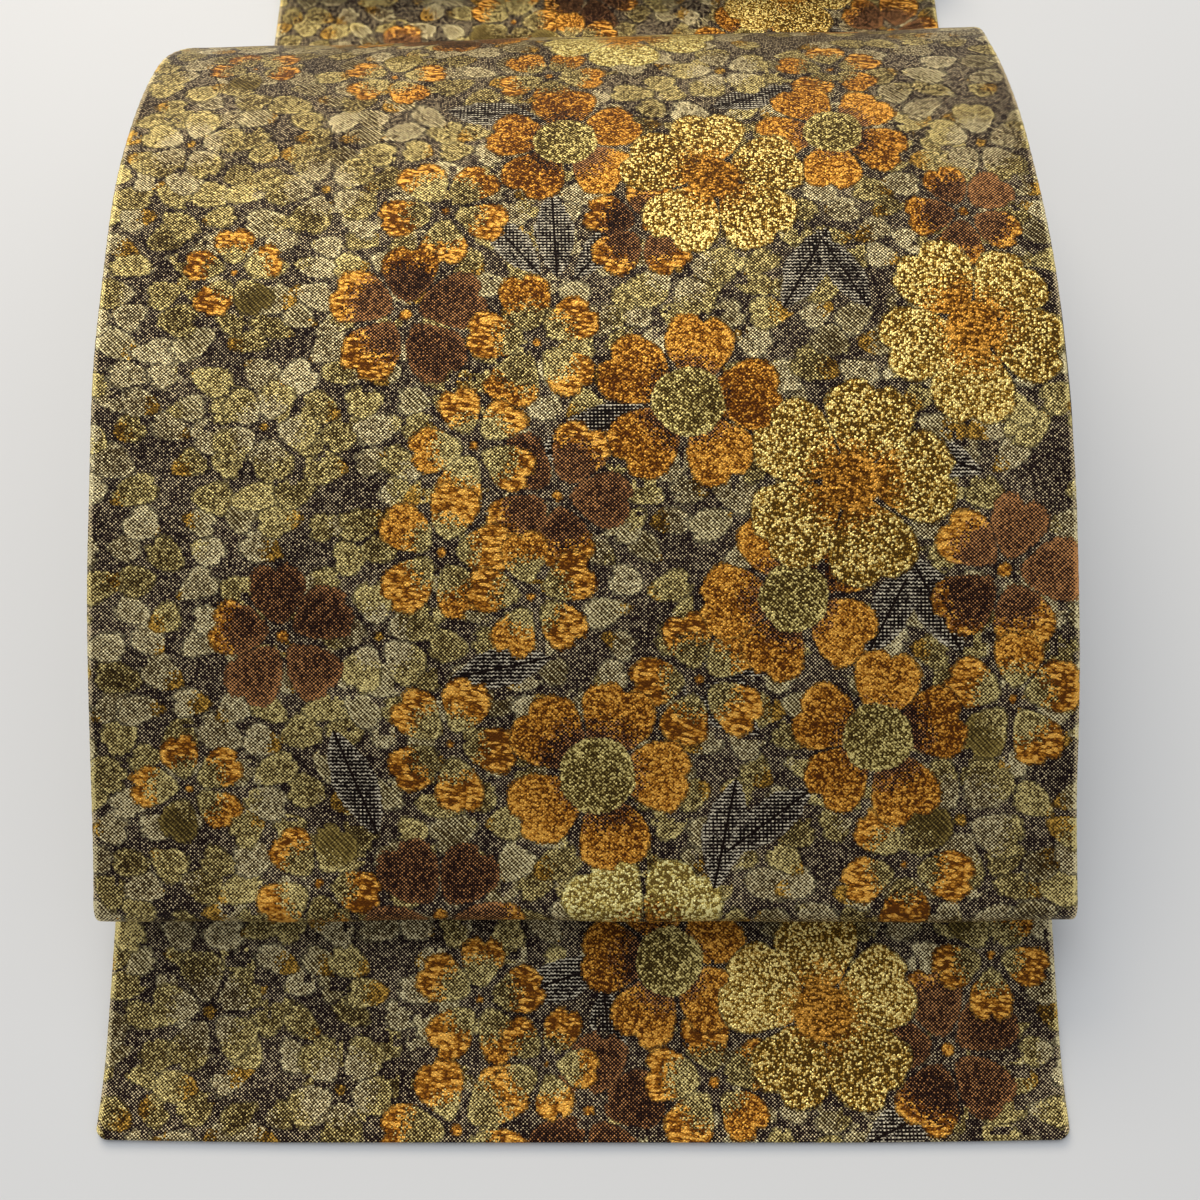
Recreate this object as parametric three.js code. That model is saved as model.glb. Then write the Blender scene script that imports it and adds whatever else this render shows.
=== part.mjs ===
// An obi sash: a brocade front cloth and a plain back cloth, sewn into one long band, laid on a table
// and folded as the drum of an otaiko bow. The drum arches over an empty hollow.
// Millimetres. X runs across the cloth, Y from the hanging end towards the strip behind, Z up.
import * as THREE from 'three';

// Driving sizes
const clothWidth = 310;
const clothLength = 4350;
const wall = 1.0; // thickness of each cloth
const gap = 0.3; // between the two cloths, and between two stretches of one cloth
const turnPerFacet = 15; // degrees that one facet of a bend may turn
const lengthPerFacet = 26;
const facetsAcross = 3;
const innerFoldRadius = 4.4;
const nearFoldRadius = 5;
const footRadius = 34;
const packLayers = 9;
const packPitch = 2.5; // height that one folded layer takes
const packStepBack = 4; // the folds lie this far behind the bottom layer's edge
const packEdgeGroove = 0.8; // depth of the grooves between the layers along the sides
const layerLevels = [0.02, 0.25, 0.75, 0.98]; // heights in one layer: its two grooved rims, its full middle

const radians = THREE.MathUtils.degToRad;

// The band is a chain of arcs. length: along the cloth. turn: degrees, upwards positive.
// At the arc's end, shift: the band's middle to the right. lean: how much farther away the
// right-hand edge lies than the left-hand one.
const tareBends = [
  { bend: 'tip on the table', length: 12, turn: 0, shift: 0, lean: 0 },
  { bend: 'lift', length: 20, turn: 12, shift: 0, lean: 0 },
  { bend: 'ramp under the drum', length: 224, turn: 0, shift: -1, lean: 0 },
  { bend: 'inner fold', length: radians(180) * innerFoldRadius, turn: 180, shift: -1, lean: 0 },
];
const returnBends = [
  { bend: 'back to the near fold', length: 180, turn: -1.5, shift: 1, lean: 0 },
];
const drumBends = [
  { bend: 'near fold', length: radians(170.5) * nearFoldRadius, turn: -170.5, shift: 1, lean: 0 },
  { bend: 'lower', length: 45, turn: 7.5, shift: 0.5, lean: 0 },
  { bend: 'breast', length: 75, turn: -8.5, shift: 0, lean: 1 },
  { bend: 'shoulder', length: 70, turn: -11, shift: -1, lean: 4 },
  { bend: 'crown', length: 66, turn: -14, shift: -2.5, lean: 8 },
  { bend: 'brow', length: 60, turn: -17.5, shift: -3, lean: 10 },
  { bend: 'over', length: 37, turn: -19.5, shift: 0, lean: 11 },
  { bend: 'fall', length: 38, turn: -22, shift: 5, lean: 8 },
];
const stripFlat = 44; // the flat strip between the drum's foot and the folded length

// Walks the arcs from a start (y, z, heading) and returns the middle line as samples.
function walk(start, bends) {
  const samples = [{ ...start }];
  let now = { ...start };
  for (const { length, turn, shift, lean } of bends) {
    const facets = Math.ceil(Math.max(Math.abs(turn) / turnPerFacet, length / lengthPerFacet));
    const from = now;
    for (let facet = 1; facet <= facets; facet += 1) {
      const halfTurn = radians(turn) / facets / 2;
      const chord = length / facets * (halfTurn === 0 ? 1 : Math.sin(halfTurn) / halfTurn);
      const ease = (1 - Math.cos(Math.PI * facet / facets)) / 2;
      now = {
        y: now.y + chord * Math.cos(now.heading + halfTurn),
        z: now.z + chord * Math.sin(now.heading + halfTurn),
        heading: now.heading + 2 * halfTurn,
        shift: THREE.MathUtils.lerp(from.shift, shift, ease),
        lean: THREE.MathUtils.lerp(from.lean, lean, ease),
      };
      samples.push(now);
    }
  }
  return samples;
}

// Draws both ends of a stretch back by half a gap, so that it clears its neighbours.
function trimmed(samples) {
  const cut = samples.map((sample) => ({ ...sample }));
  for (const [end, way] of [[cut[0], 1], [cut[cut.length - 1], -1]]) {
    end.y += way * gap / 2 * Math.cos(end.heading);
    end.z += way * gap / 2 * Math.sin(end.heading);
  }
  return cut;
}

// One cloth of a stretch: a closed wall between two distances from the middle line,
// measured towards the brocade side.
function clothWall(samples, low, high) {
  const columns = facetsAcross + 1;
  const layer = samples.length * columns;
  const positions = [];
  for (const distance of [high, low]) {
    for (const { y, z, heading, shift, lean } of samples) {
      for (let column = 0; column < columns; column += 1) {
        const across = column / facetsAcross - 0.5;
        positions.push(
          shift + across * clothWidth,
          y - distance * Math.sin(heading) + across * lean,
          z + distance * Math.cos(heading),
        );
      }
    }
  }
  const indices = [];
  const quad = (a, b, c, d) => indices.push(a, b, c, a, c, d);
  const top = (row, column) => row * columns + column;
  const bottom = (row, column) => layer + top(row, column);
  const lastRow = samples.length - 1;
  for (let row = 0; row < lastRow; row += 1) {
    for (let column = 0; column < facetsAcross; column += 1) {
      const [r, c] = [row + 1, column + 1];
      quad(top(row, column), top(row, c), top(r, c), top(r, column));
      quad(bottom(row, column), bottom(r, column), bottom(r, c), bottom(row, c));
    }
    const [left, right] = [0, facetsAcross];
    quad(top(row, left), top(row + 1, left), bottom(row + 1, left), bottom(row, left));
    quad(top(row, right), bottom(row, right), bottom(row + 1, right), top(row + 1, right));
  }
  for (let column = 0; column < facetsAcross; column += 1) {
    quad(top(0, column), bottom(0, column), bottom(0, column + 1), top(0, column + 1));
    quad(top(lastRow, column), top(lastRow, column + 1), bottom(lastRow, column + 1), bottom(lastRow, column));
  }
  return solid(positions, indices);
}

function solid(positions, indices) {
  const geometry = new THREE.BufferGeometry();
  geometry.setAttribute('position', new THREE.Float32BufferAttribute(positions, 3));
  geometry.setIndex(indices);
  geometry.computeVertexNormals();
  return geometry;
}

// How far the round of a fold draws back at a height, for a fold that joins two layers.
// The layers are paired from firstLayer; a layer without a partner is cut square.
function foldInset(height, firstLayer) {
  const pair = Math.floor((height / packPitch - firstLayer) / 2);
  const middle = (firstLayer + 2 * pair + 1) * packPitch;
  const unpaired = pair < 0 || middle + packPitch > packLayers * packPitch + gap;
  const reach = Math.min(Math.abs(height - middle), packPitch);
  return unpaired ? 0 : packPitch - Math.sqrt(packPitch ** 2 - reach ** 2);
}

// The rest of the band, a zigzag pack: a stack of rectangles, four to a layer, whose ends follow the
// rounds of the folds and whose sides are grooved between the layers.
function foldedPack(nearY, farY, shift) {
  const positions = [];
  for (let layer = 0; layer < packLayers; layer += 1) {
    for (const [index, level] of layerLevels.entries()) {
      const isRim = index === 0 || index === layerLevels.length - 1;
      const height = layer === 0 && index === 0 ? 0 : (layer + level) * packPitch;
      const side = clothWidth / 2 - (isRim ? packEdgeGroove : 0);
      const near = nearY + (layer === 0 ? 0 : packStepBack + foldInset(height, 1));
      const far = farY - foldInset(height, 0);
      positions.push(shift - side, near, height, shift + side, near, height);
      positions.push(shift + side, far, height, shift - side, far, height);
    }
  }
  const rings = packLayers * layerLevels.length;
  const indices = [0, 2, 1, 0, 3, 2];
  for (let ring = 0; ring < rings - 1; ring += 1) {
    for (let corner = 0; corner < 4; corner += 1) {
      const a = ring * 4 + corner;
      const b = ring * 4 + (corner + 1) % 4;
      indices.push(a, b, b + 4, a, b + 4, a + 4);
    }
  }
  const last = (rings - 1) * 4;
  indices.push(last, last + 1, last + 2, last, last + 2, last + 3);
  return solid(positions, indices);
}

const brocade = new THREE.MeshStandardMaterial({ color: '#7c6840', roughness: 0.5, metalness: 0.35 });
const liningSilk = new THREE.MeshStandardMaterial({ color: '#211a18', roughness: 0.6, metalness: 0 });

function addMesh(group, name, geometry, material) {
  const mesh = new THREE.Mesh(geometry, material);
  mesh.name = name;
  group.add(mesh);
}

const totalLength = (bends) => bends.reduce((sum, { length }) => sum + length, 0);

const obi = new THREE.Group();
const tableLevel = wall + gap / 2; // the middle line's height where the band lies flat
let end = { y: 0, z: tableLevel, heading: 0, shift: 0, lean: 0 };
for (const [name, bends] of [['tare', tareBends], ['return', returnBends], ['drum', drumBends]]) {
  const samples = walk(end, bends);
  end = samples[samples.length - 1];
  addMesh(obi, `${name}_front`, clothWall(trimmed(samples), gap / 2, gap / 2 + wall), brocade);
  addMesh(obi, `${name}_lining`, clothWall(trimmed(samples), -gap / 2 - wall, -gap / 2), liningSilk);
}

// The foot falls straight, then rounds out flat exactly at table level.
const fallAngle = -end.heading;
const roundDrop = footRadius * (1 - Math.cos(fallAngle));
const dropLength = (end.z - tableLevel - roundDrop) / Math.sin(fallAngle);
const footTurn = THREE.MathUtils.radToDeg(fallAngle);
const footBends = [
  { bend: 'drop', length: dropLength, turn: 0, shift: 7, lean: 5 },
  { bend: 'foot', length: footRadius * fallAngle, turn: footTurn, shift: 9, lean: 0 },
  { bend: 'strip', length: stripFlat, turn: 0, shift: 9, lean: 0 },
];
const footSamples = walk(end, footBends);
const strip = footSamples[footSamples.length - 1];
addMesh(obi, 'strip_front', clothWall(trimmed(footSamples), gap / 2, gap / 2 + wall), brocade);
addMesh(obi, 'strip_lining', clothWall(trimmed(footSamples), -gap / 2 - wall, -gap / 2), liningSilk);

const usedLength = totalLength([...tareBends, ...returnBends, ...drumBends, ...footBends]);
const layerLength = (clothLength - usedLength) / packLayers;
const packStart = strip.y + gap / 2;
addMesh(obi, 'folded_length', foldedPack(packStart, packStart + layerLength, strip.shift), brocade);

// The origin is the middle of the whole sash, at table level.
const bounds = new THREE.Box3().setFromObject(obi);
obi.position.set(-(bounds.min.x + bounds.max.x) / 2, -(bounds.min.y + bounds.max.y) / 2, 0);

export default obi;
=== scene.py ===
import math
import bpy
import numpy as np
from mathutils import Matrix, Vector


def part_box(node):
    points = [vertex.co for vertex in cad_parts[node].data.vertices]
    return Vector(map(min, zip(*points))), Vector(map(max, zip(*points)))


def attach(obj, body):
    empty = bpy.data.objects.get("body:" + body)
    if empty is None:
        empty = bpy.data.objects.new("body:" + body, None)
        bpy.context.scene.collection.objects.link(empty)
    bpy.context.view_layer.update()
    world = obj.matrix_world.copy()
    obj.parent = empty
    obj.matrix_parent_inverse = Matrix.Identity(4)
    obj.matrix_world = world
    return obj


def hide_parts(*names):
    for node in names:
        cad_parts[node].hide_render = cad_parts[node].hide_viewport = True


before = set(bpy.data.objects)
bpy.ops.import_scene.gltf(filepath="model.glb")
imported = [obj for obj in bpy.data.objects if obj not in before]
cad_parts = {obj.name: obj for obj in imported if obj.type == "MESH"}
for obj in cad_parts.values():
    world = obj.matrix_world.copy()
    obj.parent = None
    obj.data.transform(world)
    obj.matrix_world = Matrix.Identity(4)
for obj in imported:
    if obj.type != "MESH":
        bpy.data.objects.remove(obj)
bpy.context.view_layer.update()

# An obi sash laid on a table, folded as the drum of an otaiko bow: a brocade front cloth and a
# plain dark back cloth, sewn along both edges. Cloth sizes are in millimetres, the scene in metres.
mm = 0.001
tareLow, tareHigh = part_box("tare_front")
packLow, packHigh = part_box("folded_length")

band = {
    "width": 310.0,
    "halfThickness": 1.15,      # from the band's middle to the face of either cloth
    "across": tareHigh.x / mm - 155.0,  # the band's middle line, across
    "tip": tareLow.y / mm,      # the hanging end's tip
    "repeat": 350.0,            # length of one repeat of the weave's pattern
}

print("camera, floor and lights")

cameraPlace = {
    "acrossFromBand": 5.4,      # to the right of the band's middle
    "beyondTip": 14.1,          # the lens is just beyond the tip of the hanging end
    "height": 419.9,
    "tiltFromPlumb": 22.43,
    "focalLength": 36.06,       # on a 36 mm sensor
}
camera = bpy.data.objects.new("camera", bpy.data.cameras.new("camera"))
camera.data.sensor_width = 36
camera.data.lens = cameraPlace["focalLength"]
camera.data.clip_start = 0.01
camera.location = (
    (band["across"] + cameraPlace["acrossFromBand"]) * mm,
    (band["tip"] + cameraPlace["beyondTip"]) * mm,
    cameraPlace["height"] * mm,
)
camera.rotation_euler = (math.radians(cameraPlace["tiltFromPlumb"]), 0, 0)
bpy.context.scene.collection.objects.link(camera)
bpy.context.scene.camera = camera


# sRGB hex to linear: v/12.92 below 0.04045, else ((v + 0.055)/1.055)^2.4
def linear(hexColour):
    channels = [int(hexColour[i:i + 2], 16) / 255 for i in (1, 3, 5)]
    return tuple(v / 12.92 if v <= 0.04045 else ((v + 0.055) / 1.055) ** 2.4 for v in channels) + (1.0,)


# Adds one node: its kind (with a choice of operation after a space), its inputs in order, its settings.
def put(tree, kind, *values, **settings):
    name, _, choice = kind.partition(" ")
    node = tree.nodes.new("ShaderNode" + name)
    if choice:
        node.operation = choice
    for key, value in settings.items():
        setattr(node, key, value)
    sockets = [socket for socket in node.inputs if socket.enabled]
    for socket, value in zip(sockets, values):
        if isinstance(value, bpy.types.NodeSocket):
            tree.links.new(value, socket)
        elif value is not None:
            socket.default_value = value
    return next(socket for socket in node.outputs if socket.enabled)


def newMaterial(name):
    material = bpy.data.materials.new(name)
    material.use_nodes = True
    material.node_tree.nodes.clear()
    return material, material.node_tree


# Sets a shader's sockets by name: a socket is linked, a plain value is typed in.
def shade(tree, **values):
    shader = tree.nodes.new("ShaderNodeBsdfPrincipled")
    for key, value in values.items():
        socket = shader.inputs[key.replace("_", " ")]
        if isinstance(value, bpy.types.NodeSocket):
            tree.links.new(value, socket)
        else:
            socket.default_value = value
    output = tree.nodes.new("ShaderNodeOutputMaterial")
    tree.links.new(shader.outputs[0], output.inputs["Surface"])


table = {"colour": "#dee1e4", "size": 6.0, "drop": 0.05}   # size in metres, drop in millimetres


def makeTable():
    half = table["size"] / 2
    z = -table["drop"] * mm
    mesh = bpy.data.meshes.new("table_top")
    corners = [(-half, -half, z), (half, -half, z), (half, half, z), (-half, half, z)]
    mesh.from_pydata(corners, [], [(0, 1, 2, 3)])
    top = bpy.data.objects.new("table_top", mesh)
    bpy.context.scene.collection.objects.link(top)
    # Matt white laminate: no pattern, a broad dull sheen
    material, tree = newMaterial("matt white laminate")
    shade(tree, Base_Color=linear(table["colour"]), Roughness=0.6)
    mesh.materials.append(material)


makeTable()

lights = [
    # place and the point it faces in metres, size, power in watts, colour
    {"name": "window", "place": (-0.65, 1.9, 1.65), "faces": (0, 0, 0.05), "size": (1.7, 1.2),
     "power": 42, "colour": "#ffefd6"},
    {"name": "ceiling", "place": (-0.3, 0.5, 2.1), "faces": (0, -0.15, 0), "size": (1.3, 1.3),
     "power": 16, "colour": "#ffffff"},
]
for row in lights:
    lamp = bpy.data.objects.new(row["name"], bpy.data.lights.new(row["name"], "AREA"))
    lamp.data.shape = "RECTANGLE"
    lamp.data.size, lamp.data.size_y = row["size"]
    lamp.data.energy = row["power"]
    lamp.data.color = linear(row["colour"])[:3]
    lamp.location = row["place"]
    away = np.array(row["place"]) - np.array(row["faces"])
    flat = math.hypot(away[0], away[1])
    lamp.rotation_euler = (math.atan2(flat, away[2]), 0, math.atan2(away[0], -away[1]))
    bpy.context.scene.collection.objects.link(lamp)

roomLight = {"colour": "#f2f3f6", "strength": 0.46}
world = bpy.data.worlds.new("room")
world.use_nodes = True
background = world.node_tree.nodes["Background"]
background.inputs["Color"].default_value = linear(roomLight["colour"])
background.inputs["Strength"].default_value = roomLight["strength"]
bpy.context.scene.world = world
bpy.context.scene.view_settings.view_transform = "Standard"

print("the band's route")

# The band's middle line is a chain of arcs. turn is in degrees, upwards positive. shift moves the
# middle to the right, lean puts the right-hand edge farther away than the left-hand one.
innerFoldRadius, nearFoldRadius, footRadius, packFoldRadius = 4.4, 5.0, 34.0, 1.25
nearFoldTurn = 170.5
walkStep = 0.5
arcs = [
    {"bend": "tip", "length": 12, "turn": 0, "shift": 0, "lean": 0},
    {"bend": "lift", "length": 20, "turn": 12, "shift": 0, "lean": 0},
    {"bend": "ramp", "length": 224, "turn": 0, "shift": -1, "lean": 0},
    {"bend": "inner fold", "length": math.pi * innerFoldRadius, "turn": 180, "shift": -1, "lean": 0},
    {"bend": "return", "length": 180, "turn": -1.5, "shift": 1, "lean": 0},
    {"bend": "near fold", "length": math.radians(nearFoldTurn) * nearFoldRadius, "turn": -nearFoldTurn,
     "shift": 1, "lean": 0},
    {"bend": "lower", "length": 45, "turn": 7.5, "shift": 0.5, "lean": 0},
    {"bend": "breast", "length": 75, "turn": -8.5, "shift": 0, "lean": 1},
    {"bend": "shoulder", "length": 70, "turn": -11, "shift": -1, "lean": 4},
    {"bend": "crown", "length": 66, "turn": -14, "shift": -2.5, "lean": 8},
    {"bend": "brow", "length": 60, "turn": -17.5, "shift": -3, "lean": 10},
    {"bend": "over", "length": 37, "turn": -19.5, "shift": 0, "lean": 11},
    {"bend": "fall", "length": 38, "turn": -22, "shift": 5, "lean": 8},
]


# Walks the arcs in short steps: y and z grow by the cosine and sine of the heading, which
# turns evenly along each arc; shift and lean ease from one row to the next by a half cosine.
def walk(rows, start):
    columns = []
    now = dict(start)
    for row in rows:
        steps = max(2, int(math.ceil(row["length"] / walkStep)))
        part = np.arange(1, steps + 1) / steps
        ease = (1 - np.cos(math.pi * part)) / 2
        step = row["length"] / steps
        heading = now["heading"] + math.radians(row["turn"]) * part
        middle = heading - math.radians(row["turn"]) / steps / 2
        stretch = {
            "along": now["along"] + row["length"] * part,
            "y": now["y"] + np.cumsum(np.cos(middle)) * step,
            "z": now["z"] + np.cumsum(np.sin(middle)) * step,
            "heading": heading,
            "shift": now["shift"] + (row["shift"] - now["shift"]) * ease,
            "lean": now["lean"] + (row["lean"] - now["lean"]) * ease,
        }
        columns.append(stretch)
        now = {key: float(values[-1]) for key, values in stretch.items()}
        row["end"] = now["along"]
    return {key: np.concatenate([c[key] for c in columns]) for key in now}, now


flatLevel = band["halfThickness"]
start = {"along": 0.0, "y": band["tip"], "z": flatLevel, "heading": 0.0, "shift": 0.0, "lean": 0.0}
upper, now = walk(arcs, start)

# The fall ends straight, then the foot rounds out flat exactly at table level
fallAngle = -now["heading"]
footDrop = footRadius * (1 - math.cos(fallAngle))
dropLength = (now["z"] - flatLevel - footDrop) / math.sin(fallAngle)
stripArcs = [
    {"bend": "drop", "length": dropLength, "turn": 0, "shift": 7, "lean": 5},
    {"bend": "foot", "length": footRadius * fallAngle, "turn": math.degrees(fallAngle), "shift": 9,
     "lean": 0},
    {"bend": "strip", "length": 44, "turn": 0, "shift": 9, "lean": 0},
]
strip, now = walk(stripArcs, now)

# The rest is a zigzag pack: flat layers joined by half-round folds, each a little out of line.
pack = {"layers": 9, "stepBack": 4.0, "slip": 1.4}
packArcs = []
foldReach = packFoldRadius + band["halfThickness"]
nearEnd = packLow.y / mm + pack["stepBack"] + foldReach
farEnd = packHigh.y / mm - foldReach
here = now["y"]
for layer in range(pack["layers"]):
    slip = pack["slip"] * (0.5 + 0.5 * math.sin(2.4 * layer + 0.8))
    goesAway = layer % 2 == 0
    there = farEnd - slip if goesAway else nearEnd + slip
    packArcs.append({"bend": "layer", "length": abs(there - here), "turn": 0, "shift": 9, "lean": 0})
    here = there
    if layer < pack["layers"] - 1:
        packArcs.append({"bend": "fold", "length": math.pi * packFoldRadius,
                         "turn": 180 if goesAway else -180, "shift": 9, "lean": 0})
rest, now = walk(packArcs, now)
route = {key: np.concatenate([upper[key], strip[key], rest[key]]) for key in upper}
mark = {row["bend"]: row["end"] for row in arcs + stripArcs}
nearFold = mark["return"] + math.pi / 2 * nearFoldRadius   # the front of the near fold
bandEnd = now["along"]

print("the pattern")

# Every blossom is petals and discs. A motif is an ellipse with its own two axes: x runs along the
# petal from -1 at its root to 1 at its tip, y across it. form: 0 disc, 1 notched petal, 2 leaf.
discForm, petalForm, leafForm = 0, 1, 2
threadKinds = [
    # light, middle and dark thread; the share of each texture; gloss of the metal thread; how dark the
    # line round the edge is; how much of it is light; how blotchy it is
    {"name": "ground", "light": "#e6d3a6", "middle": "#3b2829", "dark": "#110809",
     "weave": 0.95, "grain": 0.0, "float": 0, "hatch": 0, "rows": 0,
     "gloss": 0.5, "edge": 0, "bias": 0.12, "mottle": 0.2},
    {"name": "olive", "light": "#f2df96", "middle": "#7a6636", "dark": "#22170a",
     "weave": 0.65, "grain": 0.4, "float": 0, "hatch": 0.0, "rows": 0,
     "gloss": 0.7, "edge": 0.7, "bias": 0.48, "mottle": 0.15},
    {"name": "pale", "light": "#f6e8b6", "middle": "#857148", "dark": "#261a0e",
     "weave": 0.9, "grain": 0.3, "float": 0, "hatch": 0.12, "rows": 0,
     "gloss": 0.7, "edge": 0.7, "bias": 0.47, "mottle": 0.15},
    {"name": "striped", "light": "#f2e4b0", "middle": "#6e5c34", "dark": "#261a0c",
     "weave": 0.65, "grain": 0.1, "float": 0, "hatch": 0.34, "rows": 0,
     "gloss": 0.6, "edge": 0.7, "bias": 0.46, "mottle": 0.15},
    {"name": "umber", "light": "#e0b050", "middle": "#7c5c20", "dark": "#2e1c08",
     "weave": 0.45, "grain": 0.5, "float": 0, "hatch": 0, "rows": 0,
     "gloss": 0.6, "edge": 0.7, "bias": 0.5, "mottle": 0.2},
    {"name": "orange", "light": "#f6b750", "middle": "#b0701f", "dark": "#4e280a",
     "weave": 0.25, "grain": 0.6, "float": 0.3, "hatch": 0, "rows": 0,
     "gloss": 0.6, "edge": 0.7, "bias": 0.58, "mottle": 0.06},
    {"name": "orangeFloat", "light": "#f8ba54", "middle": "#b2721f", "dark": "#5c320c",
     "weave": 0.15, "grain": 0.2, "float": 0.85, "hatch": 0, "rows": 0,
     "gloss": 0.6, "edge": 0.7, "bias": 0.64, "mottle": 0.05},
    {"name": "maroon", "light": "#d2965c", "middle": "#44281c", "dark": "#170a09",
     "weave": 0.8, "grain": 0.1, "float": 0, "hatch": 0, "rows": 0,
     "gloss": 0.35, "edge": 0.5, "bias": 0.33, "mottle": 0.15},
    {"name": "gold", "light": "#ffe690", "middle": "#b4872e", "dark": "#4c350f",
     "weave": 0.0, "grain": 1.0, "float": 0, "hatch": 0, "rows": 0,
     "gloss": 0.85, "edge": 0.75, "bias": 0.6, "mottle": 0.05},
    {"name": "cream", "light": "#fff2a6", "middle": "#ccb35a", "dark": "#6a5424",
     "weave": 0.1, "grain": 0.95, "float": 0, "hatch": 0, "rows": 0,
     "gloss": 0.6, "edge": 0.6, "bias": 0.62, "mottle": 0.08},
    {"name": "leaf", "light": "#e4dabd", "middle": "#352926", "dark": "#0b0606",
     "weave": 0.5, "grain": 0.0, "float": 0, "hatch": 0, "rows": 0.6,
     "gloss": 0.4, "edge": 0.2, "bias": 0.33, "mottle": 0.4},
    {"name": "disc", "light": "#f0dc8c", "middle": "#7c6830", "dark": "#35270e",
     "weave": 0.4, "grain": 0.65, "float": 0, "hatch": 0.15, "rows": 0,
     "gloss": 0.7, "edge": 0.2, "bias": 0.54, "mottle": 0.12},
    {"name": "core", "light": "#f2b04c", "middle": "#a46c1e", "dark": "#4c2a08",
     "weave": 0.0, "grain": 0.6, "float": 0.5, "hatch": 0, "rows": 0,
     "gloss": 0.7, "edge": 0.4, "bias": 0.58, "mottle": 0.12},
    {"name": "shadow", "light": "#b29d58", "middle": "#6a5829", "dark": "#2b210d",
     "weave": 0.4, "grain": 0.1, "float": 0, "hatch": 0.3, "rows": 0,
     "gloss": 0.3, "edge": 0.6, "bias": 0.45, "mottle": 0.15},
]
kindOf = {row["name"]: index for index, row in enumerate(threadKinds)}

# The kinds of blossom, in shares of their radius: where a petal's middle lies and its half length and
# half width; the threads of its tip and root and where they meet (-1 root to 1 tip); its heart.
blossomKinds = {
    "gold": {"reach": 0.60, "long": 0.42, "wide": 0.41,
             "tip": "gold", "root": "core", "meet": -0.5, "heart": "core", "heartSize": 0.28},
    "cream": {"reach": 0.61, "long": 0.40, "wide": 0.39,
              "tip": "cream", "root": "core", "meet": -0.6, "heart": "core", "heartSize": 0.26},
    "orange": {"reach": 0.62, "long": 0.40, "wide": 0.38,
               "tip": "orange", "root": "maroon", "meet": -0.35, "heart": "disc", "heartSize": 0.39},
    "tipped": {"reach": 0.60, "long": 0.42, "wide": 0.34,
               "tip": "orangeFloat", "root": "olive", "meet": 0.0, "heart": "orange", "heartSize": 0.07},
    "maroon": {"reach": 0.60, "long": 0.42, "wide": 0.36,
               "tip": "orangeFloat", "root": "maroon", "meet": 0.42, "heart": "orange", "heartSize": 0.08},
    "olive": {"reach": 0.60, "long": 0.42, "wide": 0.34,
              "tip": "olive", "root": "pale", "meet": 0.1, "heart": "umber", "heartSize": 0.1},
}

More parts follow.
